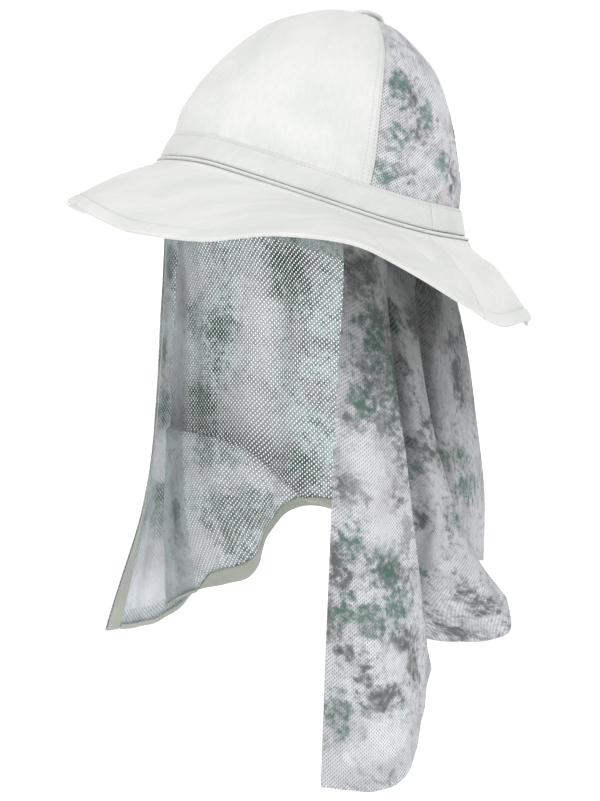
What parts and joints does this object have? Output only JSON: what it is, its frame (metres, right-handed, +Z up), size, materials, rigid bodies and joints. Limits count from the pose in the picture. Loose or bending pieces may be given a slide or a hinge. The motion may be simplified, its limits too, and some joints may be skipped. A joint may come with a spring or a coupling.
{
  "type": "sun hat with mesh veil",
  "caption": "Bucket-style sun hat with a printed mesh rear crown and a mesh veil that hangs at the sides and back and leaves the face open.",
  "frame": {"origin": "centre of the head opening, in the plane of the band's lower edge", "axes": "+Z up as worn, the wearer faces -Y and the wearer's left is +X; the hat leans back 24.5 degrees"},
  "size_m": [0.2866, 0.2889, 0.4532],
  "materials": {
    "woven_cloth": "plain woven cloth, off-white",
    "brim_lining": "plain woven cloth, sage grey in shade",
    "printed_mesh": "knitted mesh, tie-dye print in green, grey and white",
    "veil_facing": "plain woven tape, sage grey",
    "sweatband_knit": "soft knit"
  },
  "bodies": {
    "hat": {"crown_front": "woven_cloth", "top_loop": "woven_cloth", "band_front": "woven_cloth", "band_back": "woven_cloth", "brim_piping": "woven_cloth", "brim_left_top": "woven_cloth", "brim_right_top": "woven_cloth", "brim_left_under": "brim_lining", "brim_right_under": "brim_lining", "crown_mesh_left": "printed_mesh", "crown_mesh_back": "printed_mesh", "crown_mesh_right": "printed_mesh", "seam_tape_left": "veil_facing", "seam_tape_rear_left": "veil_facing", "seam_tape_rear_right": "veil_facing", "seam_tape_right": "veil_facing", "sweatband": "sweatband_knit"},
    "left_tail": {"veil_left_tail": "printed_mesh", "facing_left_front": "veil_facing", "facing_left_hem": "veil_facing"},
    "right_tail": {"veil_right_tail": "printed_mesh", "facing_right_front": "veil_facing", "facing_right_hem": "veil_facing"},
    "curtain": {"veil_curtain": "printed_mesh", "facing_curtain_hem": "veil_facing", "curtain_top_tape": "veil_facing"},
    "brim_front": {"brim_front_top": "woven_cloth", "brim_front_under": "brim_lining"},
    "brim_back": {"brim_back_top": "woven_cloth", "brim_back_under": "brim_lining"}
  },
  "joints": [
    {"name": "left_tail_swing", "type": "hinge", "parent": "hat", "child": "left_tail", "pos_m": [0.07447, -0.04556, 0.00537], "axis": [-0.3813, -0.8412, 0.3834], "range_deg": [0, 48]},
    {"name": "right_tail_swing", "type": "hinge", "parent": "hat", "child": "right_tail", "pos_m": [-0.07447, -0.04554, 0.00541], "axis": [-0.3813, 0.8412, -0.3834], "range_deg": [0, 42]},
    {"name": "curtain_swing", "type": "hinge", "parent": "hat", "child": "curtain", "pos_m": [0, 0.049, -0.043], "axis": [1, 0, 0], "range_deg": [-4, 4]},
    {"name": "brim_front_fold", "type": "hinge", "parent": "hat", "child": "brim_front", "pos_m": [0, -0.10255, 0.03541], "axis": [-1, 0, 0], "range_deg": [0, 110]},
    {"name": "brim_back_fold", "type": "hinge", "parent": "hat", "child": "brim_back", "pos_m": [0, 0.0962, -0.04934], "axis": [1, 0, 0], "range_deg": [0, 100]}
  ]
}
